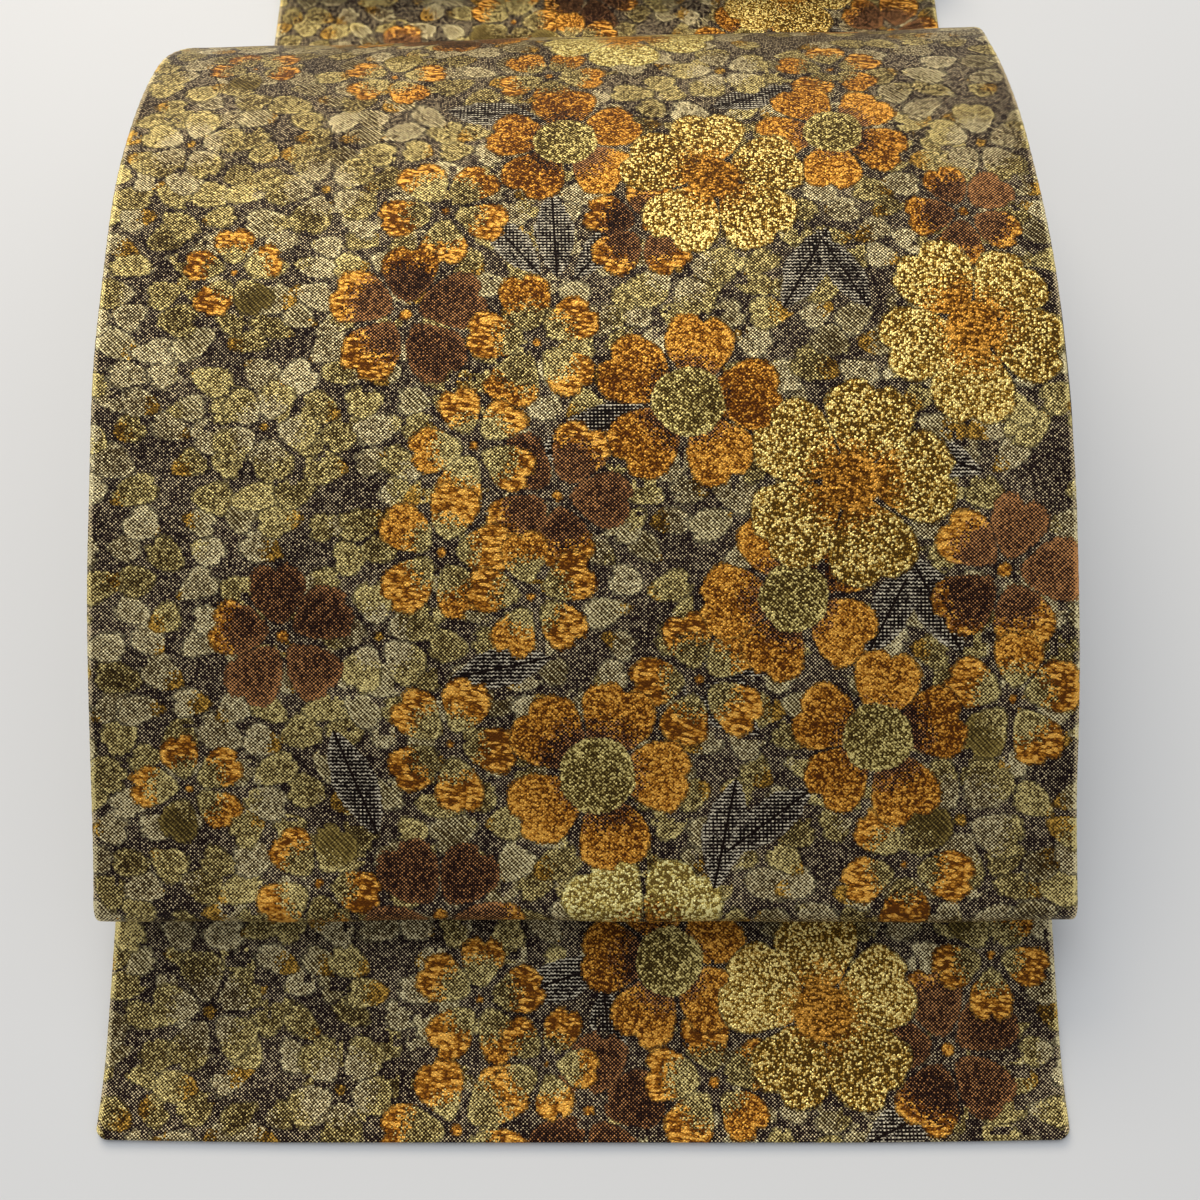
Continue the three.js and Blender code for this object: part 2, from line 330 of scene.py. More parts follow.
# One repeat's blossoms, lowest first: across from the band's middle, along from the near fold.
blossoms = [
    {"kind": "olive", "across": -132, "along": 268, "radius": 18, "turn": 10},
    {"kind": "olive", "across": -84, "along": 246, "radius": 19, "turn": 40},
    {"kind": "olive", "across": -100, "along": 158, "radius": 17, "turn": 65},
    {"kind": "olive", "across": -64, "along": 92, "radius": 18, "turn": 25},
    {"kind": "olive", "across": 118, "along": 34, "radius": 21, "turn": 50},
    {"kind": "olive", "across": 32, "along": 212, "radius": 20, "turn": 5},
    {"kind": "olive", "across": 52, "along": 306, "radius": 19, "turn": 30},
    {"kind": "olive", "across": 138, "along": 262, "radius": 20, "turn": 15},
    {"kind": "tipped", "across": -112, "along": 212, "radius": 17, "turn": 20},
    {"kind": "tipped", "across": -124, "along": 44, "radius": 18, "turn": 34},
    {"kind": "tipped", "across": -84, "along": 14, "radius": 20, "turn": 62},
    {"kind": "tipped", "across": -118, "along": 318, "radius": 17, "turn": 48},
    {"kind": "tipped", "across": -66, "along": 308, "radius": 19, "turn": 8},
    {"kind": "maroon", "across": -94, "along": 92, "radius": 24, "turn": 24},
    {"kind": "maroon", "across": -46, "along": 4, "radius": 26, "turn": 54},
    {"kind": "maroon", "across": 132, "along": 112, "radius": 25, "turn": 70},
    {"kind": "maroon", "across": 22, "along": 228, "radius": 21, "turn": 12},
    {"kind": "maroon", "across": 128, "along": 232, "radius": 20, "turn": 40},
    {"kind": "maroon", "across": -8, "along": 136, "radius": 24, "turn": 66},
    {"kind": "tipped", "across": 134, "along": 72, "radius": 22, "turn": 14},
    {"kind": "tipped", "across": 100, "along": 20, "radius": 21, "turn": 58},
    {"kind": "tipped", "across": 36, "along": 78, "radius": 22, "turn": 36},
    {"kind": "tipped", "across": 92, "along": 306, "radius": 20, "turn": 22},
    {"kind": "tipped", "across": -44, "along": 236, "radius": 22, "turn": 50},
    {"kind": "maroon", "across": -56, "along": 196, "radius": 25, "turn": 16},
    {"kind": "tipped", "across": -34, "along": 152, "radius": 20, "turn": 40},
    {"kind": "tipped", "across": -44, "along": 118, "radius": 22, "turn": 6},
    {"kind": "tipped", "across": -16, "along": 104, "radius": 21, "turn": 28},
    {"kind": "tipped", "across": -42, "along": 58, "radius": 22, "turn": 64},
    {"kind": "tipped", "across": -14, "along": 186, "radius": 23, "turn": 30},
    {"kind": "tipped", "across": -10, "along": 306, "radius": 20, "turn": 60},
    {"kind": "orange", "across": 88, "along": 268, "radius": 26, "turn": 44},
    {"kind": "orange", "across": 34, "along": 166, "radius": 29, "turn": 80},
    {"kind": "orange", "across": 66, "along": 104, "radius": 28, "turn": 36},
    {"kind": "orange", "across": 92, "along": 60, "radius": 28, "turn": 12},
    {"kind": "orange", "across": 4, "along": 48, "radius": 31, "turn": 70},
    {"kind": "orange", "across": -4, "along": 266, "radius": 28, "turn": 24},
    {"kind": "gold", "across": 126, "along": 190, "radius": 31, "turn": 50},
    {"kind": "gold", "across": 46, "along": 248, "radius": 31, "turn": 18},
    {"kind": "gold", "across": 84, "along": 140, "radius": 33, "turn": 2},
    {"kind": "cream", "across": 18, "along": 342, "radius": 33, "turn": 54},
]
leaves = [
    {"across": -22, "along": 222, "length": 30, "turn": 128},
    {"across": -8, "along": 226, "length": 34, "turn": 92},
    {"across": 8, "along": 221, "length": 30, "turn": 52},
    {"across": 74, "along": 212, "length": 34, "turn": 60},
    {"across": 86, "along": 210, "length": 30, "turn": 118},
    {"across": 4, "along": 156, "length": 40, "turn": 24},
    {"across": 96, "along": 100, "length": 34, "turn": 62},
    {"across": 110, "along": 102, "length": 36, "turn": 118},
    {"across": 46, "along": 82, "length": 32, "turn": 12},
    {"across": 42, "along": 70, "length": 32, "turn": 146},
    {"across": -26, "along": 82, "length": 32, "turn": 12},
    {"across": -72, "along": 46, "length": 36, "turn": 112},
    {"across": 44, "along": 30, "length": 36, "turn": 78},
    {"across": 58, "along": 34, "length": 34, "turn": 36},
    {"across": 112, "along": 148, "length": 30, "turn": 160},
    {"across": -30, "along": 282, "length": 34, "turn": 170},
    {"across": 62, "along": 288, "length": 32, "turn": 20},
]
# The hanging end shows its own part of the weave; along is from its tip.
tareBlossoms = [
    {"kind": "olive", "across": -122, "along": 40, "radius": 19, "turn": 30},
    {"kind": "olive", "across": -78, "along": 16, "radius": 18, "turn": 58},
    {"kind": "maroon", "across": 118, "along": 28, "radius": 26, "turn": 30},
    {"kind": "maroon", "across": 2, "along": 10, "radius": 25, "turn": 10},
    {"kind": "tipped", "across": -40, "along": 4, "radius": 24, "turn": 42},
    {"kind": "tipped", "across": -34, "along": 44, "radius": 21, "turn": 12},
    {"kind": "tipped", "across": -12, "along": 24, "radius": 18, "turn": 66},
    {"kind": "tipped", "across": 42, "along": 18, "radius": 22, "turn": 24},
    {"kind": "tipped", "across": 134, "along": 58, "radius": 20, "turn": 54},
    {"kind": "orange", "across": 28, "along": 56, "radius": 28, "turn": 32},
    {"kind": "gold", "across": 78, "along": 40, "radius": 33, "turn": 20},
]
tareLeaves = [
    {"across": -8, "along": 50, "length": 34, "turn": 18},
    {"across": 8, "along": 34, "length": 30, "turn": 96},
    {"across": 104, "along": 6, "length": 34, "turn": 24},
]

motifColumns = ("across", "along", "long", "wide", "turn", "form", "tip", "root", "meet", "tone")


# Adds one motif. Its threads become numbers, and tone makes single motifs lighter or darker.
def motif(rows, across, along, long, wide, turn, form, tip, root, meet, tone):
    rows.append((across, along, long, wide, math.radians(turn), form, kindOf[tip], kindOf[root], meet, tone))


def addLeaf(rows, across, along, length, turn):
    motif(rows, across, along, length / 2, length / 5.2, turn, leafForm, "leaf", "leaf", -2, 0.5)


# Five petals a fifth of a turn apart, then the heart. Petals differ a little in size, lie and tone.
def addBlossom(rows, chance, kind, across, along, radius, turn):
    shape = blossomKinds[kind]
    for petal in range(5):
        angle = turn + 72 * petal + chance.uniform(-4, 4)
        size = radius * chance.uniform(0.94, 1.05)
        meet = shape["meet"] + chance.uniform(-0.3, 0.3)
        tip = shape["tip"]
        if kind in ("maroon", "tipped") and chance.random() < 0.3:
            tip = "orange"
        if kind == "maroon" and chance.random() < 0.35:
            meet = 2.0      # this petal's tip isn't orange
        if kind == "tipped" and chance.random() < 0.08:
            tip = "shadow"
        motif(
            rows, across + shape["reach"] * size * math.cos(math.radians(angle)),
            along + shape["reach"] * size * math.sin(math.radians(angle)),
            shape["long"] * size, shape["wide"] * size, angle, petalForm, tip, shape["root"], meet,
            chance.uniform(0.1, 0.9),
        )
    heart = shape["heartSize"] * radius
    motif(rows, across, along, heart, heart, 0, discForm, shape["heart"], shape["heart"], -2, 0.5)


# Loose petals fill the cloth: a brick grid, each petal moved, turned and sized at random. They thin
# out towards the right, where the blossoms are.
looseGrid = {
    "seed": 41,
    "acrossStep": 13.6,
    "alongStep": 9.6,
    "movedAcross": 3.2,
    "movedAlong": 2.2,
    "halfLength": (5.3, 8.4),
    "halfWidth": (4.2, 5.8),
    "turn": 42,
    "keptLeft": 0.93,
    "keptRight": 0.85,
}


def addLoosePetals(rows, chance, fromAlong, toAlong):
    lines = int((toAlong - fromAlong) / looseGrid["alongStep"]) + 1
    for line in range(lines):
        for place in range(-12, 13):
            across = (place + 0.5 * (line % 2)) * looseGrid["acrossStep"]
            across += chance.uniform(-looseGrid["movedAcross"], looseGrid["movedAcross"])
            along = fromAlong + line * looseGrid["alongStep"]
            along += chance.uniform(-looseGrid["movedAlong"], looseGrid["movedAlong"])
            kept = chance.random() < looseGrid["keptLeft" if across < -10 else "keptRight"]
            tip = ("olive", "pale", "olive", "pale", "olive", "striped")[chance.integers(0, 6)]
            root = ("olive", "umber", "umber", "pale")[chance.integers(0, 4)]
            long = chance.uniform(*looseGrid["halfLength"])
            wide = chance.uniform(*looseGrid["halfWidth"])
            turn = chance.uniform(-looseGrid["turn"], looseGrid["turn"]) + 180 * chance.integers(0, 2)
            tone = chance.uniform(0.05, 0.95)
            meet = chance.uniform(-1.2, 0.0)
            if kept and abs(across) < 165:
                motif(rows, across, along, long, wide, turn, petalForm, tip, root, meet, tone)


def layOut():
    chance = np.random.default_rng(looseGrid["seed"])
    rows = []
    addLoosePetals(rows, chance, -10, bandEnd + 10)
    for offset in np.arange(nearFold - band["repeat"], bandEnd, band["repeat"]):
        for leaf in leaves:
            addLeaf(rows, **{**leaf, "along": leaf["along"] + offset})
        for blossom in blossoms:
            addBlossom(rows, chance, **{**blossom, "along": blossom["along"] + offset})
    for leaf in tareLeaves:
        addLeaf(rows, **leaf)
    for blossom in tareBlossoms:
        addBlossom(rows, chance, **blossom)
    rows.append((1e4, 1e4, 1, 1, 0, discForm, 0, 0, -2, 0.5))   # the last row is nowhere: bare ground
    filled = np.array(rows, float)
    return {name: filled[:, index] for index, name in enumerate(motifColumns)}


motifs = layOut()
nowhere = len(motifs["across"]) - 1
print("motifs:", nowhere)


# A motif's own coordinates: the offset from its middle, turned by its angle, over its half sizes.
def ownPlace(index, across, along):
    cosine, sine = np.cos(motifs["turn"][index]), np.sin(motifs["turn"][index])
    dx, dy = across - motifs["across"][index], along - motifs["along"][index]
    x = (dx * cosine + dy * sine) / motifs["long"][index]
    y = (dy * cosine - dx * sine) / motifs["wide"][index]
    return x, y


petalShape = {"egg": 0.36, "notchAt": 0.8, "notchSlope": 0.6}


# Depth inside a motif, in mm: 1 - sqrt(x^2 + y^2) for a disc; a petal is broader towards its tip and
# loses a wedge there; a leaf is 1 - x^2 - |y|. All times the half width.
def depthIn(index, across, along):
    x, y = ownPlace(index, across, along)
    form = motifs["form"][index]
    broad = y / (1 + petalShape["egg"] * np.clip(x, -1, 1) * (form == petalForm))
    depth = 1 - np.sqrt(x ** 2 + broad ** 2)
    wedge = petalShape["notchAt"] + petalShape["notchSlope"] * np.abs(y) - x
    depth = np.where(form == petalForm, np.minimum(depth, wedge), depth)
    depth = np.where(form == leafForm, 1 - x ** 2 - np.abs(y), depth)
    return depth * motifs["wide"][index]


# The three uppermost motifs that reach each face of a grid of cloth, given its lines across and along.
def topMotifs(acrossLines, alongLines):
    across = (acrossLines[1:] + acrossLines[:-1]) / 2
    along = (alongLines[1:] + alongLines[:-1]) / 2
    margin = 0.75 * max(np.diff(acrossLines).max(), np.diff(alongLines).max()) + 1.1
    layers = [np.full((len(along), len(across)), nowhere) for _ in range(3)]
    reach = np.maximum(motifs["long"], motifs["wide"]) + margin
    near = (motifs["along"] + reach > along[0]) & (motifs["along"] - reach < along[-1])
    for index in np.flatnonzero(near[:nowhere]):
        r0, r1 = np.searchsorted(along, motifs["along"][index] + reach[index] * np.array([-1, 1]))
        c0, c1 = np.searchsorted(across, motifs["across"][index] + reach[index] * np.array([-1, 1]))
        depth = depthIn(index, across[None, c0:c1], along[r0:r1, None])
        inside = depth > -margin
        first, second, third = [layer[r0:r1, c0:c1] for layer in layers]
        third[inside] = second[inside]
        second[inside] = first[inside]
        first[inside] = index
    return layers


print("materials")

weave = {
    "pickPitch": 1.13,          # mm between weft threads; the real 1.0 mm is too fine to show, so coarser
    "endPitch": 1.21,           # mm between warp threads, real 1.1 mm
    "grainSize": 0.66,          # mm, the glitter of flat gold thread
    "floatLength": 1.9,         # mm, a float of thick orange silk
    "floatPitch": 0.78,         # mm from float to float
    "slant": 0.12,              # radians, how far the floats lean
    "hatchPitch": 1.3,          # mm from line to line in a striped petal
    "rowPitch": 1.15,           # mm from row to row in a leaf
    "jag": 0.8,                 # mm, how far a motif's edge steps between threads
    "wobble": 2.2,              # mm, how far it wanders
    "outline": 0.55,            # mm, the dark line of bound-down threads round a motif
    "outlineColour": "#170e0c",
    "midrib": 0.06,             # half width of a leaf's midrib, as a share of the leaf's
    "turned": (2.0, 1.0),       # mm from the edge, where the turned edge's gold thread and painted highlight set in
    "bumpDepth": 0.16,          # mm
}


# How strongly each thing lightens or darkens a thread. The kinds of thread give their own shares of them.
lightness = {
    "weavePoints": 2.1,
    "weaveThreads": 1.9,
    "grainSpread": 3.4,
    "grainFloor": -0.4,
    "grainRim": -2.2,
    "hatch": 1.5,
    "rows": 1.5,
    "rowThreads": 2.2,
    "mottles": 3.2,
    "patches": 1.2,
    "tone": 0.8,
    "bias": 2.0,
    "rim": (0.4, -0.15),        # just inside a motif's edge and farther in
    # the turned edges: their gold thread and a painted highlight of the rounded edge
    "turnedEdge": 1.7,
    "dark": -0.8,               # the levels of plain dark, middle and light thread
    "middle": 0.1,
    "light": 1.1,
}


# The depth in one of the three motifs of a face, its edge stepped from thread to thread by jag: the
# same formulas as depthIn.
def motifDepth(tree, own, jag):
    x, y, packed = put(tree, "SeparateXYZ", own).node.outputs
    form = put(tree, "Math FLOOR", put(tree, "Math DIVIDE", packed, 100.0))
    size = put(tree, "Math MODULO", packed, 100.0)
    isPetal = put(tree, "Math COMPARE", form, float(petalForm), 0.1)
    isLeaf = put(tree, "Math COMPARE", form, float(leafForm), 0.1)
    egg = put(tree, "Math MULTIPLY", put(tree, "Math MULTIPLY", x, petalShape["egg"]), isPetal)
    broad = put(tree, "Math DIVIDE", y, put(tree, "Math ADD", egg, 1.0))
    xSquared = put(tree, "Math MULTIPLY", x, x)
    squares = put(tree, "Math MULTIPLY_ADD", broad, broad, xSquared)
    roundDepth = put(tree, "Math SUBTRACT", 1.0, put(tree, "Math SQRT", squares))
    absY = put(tree, "Math ABSOLUTE", y)
    wedge = put(tree, "Math MULTIPLY_ADD", absY, petalShape["notchSlope"], petalShape["notchAt"])
    wedge = put(tree, "Math SUBTRACT", wedge, x)
    noWedge = put(tree, "Math MULTIPLY_ADD", isPetal, -9.0, 9.0)
    petal = put(tree, "Math MINIMUM", roundDepth, put(tree, "Math ADD", wedge, noWedge))
    leaf = put(tree, "Math SUBTRACT", put(tree, "Math SUBTRACT", 1.0, xSquared), absY)
    depth = put(tree, "Mix", isLeaf, petal, leaf, data_type="FLOAT")
    return put(tree, "Math MULTIPLY_ADD", depth, size, jag)


# Of the three motifs of a face, the uppermost that covers the point: its own place, threads and depth.
def motifAt(tree, jag):
    chosenPlace, chosenInk, chosenDepth = (0, 0, 0), (0.5, 0, -2), -1.0     # bare ground
    for layer in ("third", "second", "first"):
        own = put(tree, "Attribute", attribute_name=layer + "_place").node.outputs["Vector"]
        ink = put(tree, "Attribute", attribute_name=layer + "_ink").node.outputs["Vector"]
        depth = motifDepth(tree, own, jag)
        covers = put(tree, "Math GREATER_THAN", depth, 0.0)
        chosenPlace = put(tree, "Mix", covers, chosenPlace, own, data_type="VECTOR")
        chosenInk = put(tree, "Mix", covers, chosenInk, ink, data_type="VECTOR")
        chosenDepth = put(tree, "Mix", covers, chosenDepth, depth, data_type="FLOAT")
    return chosenPlace, chosenInk, chosenDepth


# A wave over the cloth: sine of two pi (acrossShare * u + alongShare * v) / pitch
def wave(tree, place, acrossShare, alongShare, pitch):
    run = put(tree, "VectorMath DOT_PRODUCT", place, (acrossShare, alongShare, 0.0))
    return put(tree, "Math SINE", put(tree, "Math MULTIPLY", run, 2 * math.pi / pitch))


# Grains: each cell of a mosaic has its own brightness and falls dark at its rim
def grains(tree, place, stretch, scale):
    turned = put(tree, "VectorRotate", place, (0, 0, 0), (0, 0, 1), weave["slant"])
    mosaic = put(tree, "TexVoronoi", put(tree, "VectorMath MULTIPLY", turned, stretch), scale,
                 voronoi_dimensions="2D").node
    own = put(tree, "SeparateColor", mosaic.outputs["Color"])
    bright = put(tree, "Math MULTIPLY_ADD", put(tree, "Math MULTIPLY", own, own), lightness["grainSpread"],
                 lightness["grainFloor"])
    return put(tree, "Math MULTIPLY_ADD", mosaic.outputs["Distance"], lightness["grainRim"], bright)


# Colours, or rows of three amounts, that go with the kinds of thread
def byThread(tree, kindFactor, colours):
    node = put(tree, "ValToRGB", kindFactor).node
    node.color_ramp.interpolation = "CONSTANT"
    stops = node.color_ramp.elements
    for index, colour in enumerate(colours):
        stop = stops[index] if index < 2 else stops.new(index / len(colours))
        stop.position = index / len(colours)
        stop.color = colour
    return node.outputs["Color"]


# Gold-thread brocade: silk warp with picks of silk and flat gold thread, woven on a jacquard loom. It
# gives a dark ground peppered with light dots, and motifs whose floats glitter like grains.
def brocadeMaterial():
    material, tree = newMaterial("gold thread brocade, jacquard woven")
    place = put(tree, "Attribute", attribute_name="cloth").node.outputs["Vector"]
    cell = put(tree, "VectorMath SNAP", place, (weave["endPitch"] / 2, weave["pickPitch"] / 2, 1.0))
    thread = put(tree, "TexWhiteNoise", cell, noise_dimensions="3D").node
    chances = put(tree, "SeparateColor", thread.outputs["Color"]).node.outputs
    jag = put(tree, "Math MULTIPLY", put(tree, "Math SUBTRACT", chances[0], 0.5), weave["jag"])
    wobble = put(tree, "TexNoise", place, 0.11, 1.0, noise_dimensions="2D")
    jag = put(tree, "Math MULTIPLY_ADD", put(tree, "Math SUBTRACT", wobble, 0.5), weave["wobble"], jag)

    own, ink, depth = motifAt(tree, jag)
    x, y, _ = put(tree, "SeparateXYZ", own).node.outputs
    tip, root, meet = put(tree, "SeparateXYZ", ink).node.outputs
    covered = put(tree, "Math GREATER_THAN", depth, 0.0)

    # Tip and root threads meet along a curve, feathered thread by thread
    curve = put(tree, "Math MULTIPLY_ADD", put(tree, "Math MULTIPLY", y, y), 0.35, x)
    feather = put(tree, "Math MULTIPLY_ADD", chances[1], 0.7, -0.35)
    isRoot = put(tree, "Math LESS_THAN", put(tree, "Math ADD", curve, feather), meet)
    tone = put(tree, "Math FRACT", tip)
    kind = put(tree, "Mix", isRoot, put(tree, "Math FLOOR", tip), root, data_type="FLOAT")
    kindFactor = put(tree, "Math DIVIDE", put(tree, "Math ADD", kind, 0.5), float(len(threadKinds)))
    light, middle, dark = [
        byThread(tree, kindFactor, [linear(row[key]) for row in threadKinds])
        for key in ("light", "middle", "dark")
    ]
    shares = {}
    for keys in (("weave", "grain", "float"), ("hatch", "rows", "gloss"), ("edge", "bias", "mottle")):
        looked = byThread(tree, kindFactor, [tuple(row[key] for key in keys) + (1,) for row in threadKinds])
        shares.update(zip(keys, put(tree, "SeparateColor", looked).node.outputs))

    # Plain weave: the product of the two thread waves, dots in a checker
    points = put(tree, "Math MULTIPLY", wave(tree, place, 1, 0, weave["endPitch"]),
                 wave(tree, place, 0, 1, weave["pickPitch"]))
    weaveLight = put(tree, "Math MULTIPLY_ADD", put(tree, "Math SUBTRACT", chances[0], 0.5),
                     lightness["weaveThreads"], put(tree, "Math MULTIPLY", points, lightness["weavePoints"]))
    grainLight = grains(tree, place, (1, 1, 1), 1 / weave["grainSize"])
    floatLight = grains(tree, place, (1 / weave["floatLength"], 1 / weave["floatPitch"], 1), 1.0)
    hatch = wave(tree, place, 0.75, 0.66, weave["hatchPitch"])
    hatchLight = put(tree, "Math MULTIPLY", hatch, lightness["hatch"])
    rows = put(tree, "Math MULTIPLY", wave(tree, place, 0, 1, weave["rowPitch"]), lightness["rows"])
    rowsLight = put(tree, "Math MULTIPLY_ADD", put(tree, "Math SUBTRACT", chances[1], 0.5),
                    lightness["rowThreads"], rows)
    mottles = put(tree, "TexNoise", place, 0.33, 2.0, 0.6, noise_dimensions="2D")
    patches = put(tree, "TexNoise", place, 0.035, 1.0, noise_dimensions="2D")
    mottle = put(tree, "Math MULTIPLY", put(tree, "Math SUBTRACT", mottles, 0.5), lightness["mottles"])

    # The level is the sum of all that lightens and darkens
    level = put(tree, "Math MULTIPLY", weaveLight, shares["weave"])
    for lighter, key in ((grainLight, "grain"), (floatLight, "float"), (hatchLight, "hatch"),
                         (rowsLight, "rows"), (mottle, "mottle")):
        level = put(tree, "Math MULTIPLY_ADD", lighter, shares[key], level)
    for amount, key in ((patches, "patches"), (tone, "tone"), (shares["bias"], "bias")):
        level = put(tree, "Math MULTIPLY_ADD", put(tree, "Math SUBTRACT", amount, 0.5), lightness[key], level)
    rim = put(tree, "MapRange", depth, 0.5, 2.2, *lightness["rim"])
    level = put(tree, "Math MULTIPLY_ADD", rim, covered, level)
    # Gold threads along the turned edges, lightened further by a painted highlight of the rounded edge
    fromMiddle = put(tree, "Math ABSOLUTE", put(tree, "SeparateXYZ", place))
    setsIn, full = [band["width"] / 2 - inwards for inwards in weave["turned"]]
    turned = put(tree, "MapRange", fromMiddle, setsIn, full, 0.0, lightness["turnedEdge"])
    level = put(tree, "Math ADD", level, turned)

    lower = put(tree, "MapRange", level, lightness["dark"], lightness["middle"], 0.0, 1.0)
    higher = put(tree, "MapRange", level, lightness["middle"], lightness["light"], 0.0, 1.0)
    colour = put(tree, "Mix", lower, dark, middle, data_type="RGBA")
    colour = put(tree, "Mix", higher, colour, light, data_type="RGBA")

    # The dark line round a motif, and a leaf's midrib
    outline = put(tree, "Math LESS_THAN", depth, weave["outline"])
    outline = put(tree, "Math MULTIPLY", put(tree, "Math MULTIPLY", outline, covered), shares["edge"])
    isLeafKind = put(tree, "Math COMPARE", kind, float(kindOf["leaf"]), 0.6)
    rib = put(tree, "Math LESS_THAN", put(tree, "Math ABSOLUTE", y), weave["midrib"])
    outline = put(tree, "Math MAXIMUM", outline, put(tree, "Math MULTIPLY", rib, isLeafKind))
    colour = put(tree, "Mix", outline, colour, linear(weave["outlineColour"]), data_type="RGBA")

    height = put(tree, "Math MULTIPLY_ADD", points, 0.35, put(tree, "Math MULTIPLY", grainLight, 0.5))
    bump = put(tree, "Bump", 1.0, weave["bumpDepth"] * mm, None, height)
    metallic = put(tree, "Math MULTIPLY", shares["gloss"], put(tree, "Math MULTIPLY_ADD", higher, 0.6, 0.4))
    shade(tree, Base_Color=colour, Metallic=metallic, Roughness=0.42, Normal=bump, Specular_IOR_Level=0.05,
          Sheen_Weight=0.12, Sheen_Roughness=0.3, Sheen_Tint=linear("#ffcf70"))
    return material


# Plain silk, woven with a fine rib across: nearly black, with a soft even sheen.
def liningMaterial():
    material, tree = newMaterial("plain black silk, ribbed weave")
    place = put(tree, "Attribute", attribute_name="cloth").node.outputs["Vector"]
    run = put(tree, "VectorMath DOT_PRODUCT", place, (0.0, 1.0, 0.0))
    rib = put(tree, "Math SINE", put(tree, "Math MULTIPLY", run, 2 * math.pi / 1.0))
    fuzz = put(tree, "TexNoise", place, 1.4, 2.0, noise_dimensions="2D")
    level = put(tree, "Math MULTIPLY_ADD", rib, 0.2, fuzz)
    colour = put(tree, "Mix", level, linear("#14100f"), linear("#2e2624"), data_type="RGBA")
    bump = put(tree, "Bump", 0.6, 0.1 * mm, None, level)
    shade(tree, Base_Color=colour, Roughness=0.5, Normal=bump, Sheen_Weight=0.2, Sheen_Roughness=0.4)
    return material


brocadeCloth = brocadeMaterial()
liningCloth = liningMaterial()

print("cloth")

frontCloth = {"side": 1, "inset": 0.0, "edgeRadius": 0.75, "turnIn": 9.0}
backCloth = {"side": -1, "inset": 1.5, "edgeRadius": 0.3, "turnIn": 7.0}


# A turned edge: from the flat, half round the edge, then back under. Returns for each distance the
# place and how far it has dropped: r sin t and r (1 - cos t) on the round, t the distance over r.
def turnedEdge(distance, edge, radius):
    flat = edge - radius
    past = np.maximum(np.abs(distance) - flat, 0)
    angle = np.minimum(past / radius, math.pi)
    under = np.maximum(past - math.pi * radius, 0)
    place = np.minimum(np.abs(distance), flat) + radius * np.sin(angle) - under
    return np.sign(distance) * place, radius * (1 - np.cos(angle))


# Distances over a turned edge: six steps round it, then those of the part turned under.
def turnLines(radius, under):
    halfRound = math.pi * radius
    return np.concatenate([np.linspace(0, halfRound, 7)[1:], halfRound + np.array(under)])


# Lines across the cloth, about a step apart, with a turned edge at either end.
def linesAcross(half, step, radius, turnIn):
    flat = np.linspace(-half, half, max(2, int(round(2 * half / step)) + 1))
    turn = turnLines(radius, np.linspace(0, turnIn, 4)[1:])
    return np.concatenate([-half - turn[::-1], flat, half + turn])


endTurnIn = (3.0, 6.0)      # the lines of the part turned in at an end of the band
peepingLining = {"proud": 2.3, "at": nearFold + 178, "half": 40, "from": 120, "over": 30}
tipShape = {"cornerRadius": 4.0, "bow": 1.3, "fades": 14.0}

creases = [
    # soft hollows and ridges: middle of each, its half length and turn, how deep and how wide
    {"across": -96, "along": nearFold + 34, "half": 46, "turn": 14, "depth": -0.5, "wide": 9},
    {"across": 70, "along": nearFold + 26, "half": 60, "turn": -6, "depth": 0.45, "wide": 11},
    {"across": 128, "along": nearFold + 150, "half": 55, "turn": 84, "depth": -0.6, "wide": 13},
    {"across": -134, "along": nearFold + 210, "half": 60, "turn": 96, "depth": 0.5, "wide": 12},
    {"across": 10, "along": nearFold + 330, "half": 90, "turn": 3, "depth": 0.6, "wide": 14},
    {"across": 60, "along": 34, "half": 50, "turn": -4, "depth": 0.35, "wide": 9},
]

slowWaves = [
    # height, then the length of one wave across and along, and where it starts
    {"height": 0.30, "across": 205, "along": 263, "start": 1.0},
    {"height": 0.22, "across": 97, "along": -143, "start": 2.1},
    {"height": 0.12, "across": 51, "along": 77, "start": 0.3},
]
pucker = {"height": 0.10, "pitch": 5.6, "fades": 2.5}


# The cloth isn't quite even: slow waves height * sin(2 pi (u/across + v/along) + start), the creases as
# exp(-(d/wide)^2) troughs and ridges that fade along their length, a fine pucker beside the edge seams.
def unevenness(across, along):
    lift = 0
    for row in slowWaves:
        turns = across / row["across"] + along / row["along"]
        lift = lift + row["height"] * np.sin(2 * math.pi * turns + row["start"])
    for row in creases:
        cosine, sine = math.cos(math.radians(row["turn"])), math.sin(math.radians(row["turn"]))
        dx, dy = across - row["across"], along - row["along"]
        off = (dy * cosine - dx * sine) / row["wide"]
        run = (dx * cosine + dy * sine) / row["half"]
        lift = lift + row["depth"] * np.exp(-off ** 2) * np.clip(1 - run ** 2, 0, 1) ** 2
    fromEdge = band["width"] / 2 - np.abs(across)
    fades = np.exp(-np.clip(fromEdge, 0, None) / pucker["fades"])
    lift = lift + pucker["height"] * np.sin(2 * math.pi * along / pucker["pitch"]) * fades
    # Where the band rests on the table it only lifts
    rests = np.clip((along - 12) / 40, 0, 1) * np.clip((mark["drop"] - along) / 30, 0, 1)
    return lift * rests + (1 - rests) * 0.05


# Lines along the cloth: from each distance in steps on, they lie about its step apart.
def linesAlong(low, high, steps):
    breaks = [low] + [place for place in sorted(steps) if low < place < high] + [high]
    lines = []
    for first, last in zip(breaks[:-1], breaks[1:]):
        step = steps[max([place for place in steps if place <= first + 1e-6], default=min(steps))]
        lines.append(np.linspace(first, last, max(2, int(math.ceil((last - first) / step)) + 1))[:-1])
    return np.concatenate(lines + [[high]])


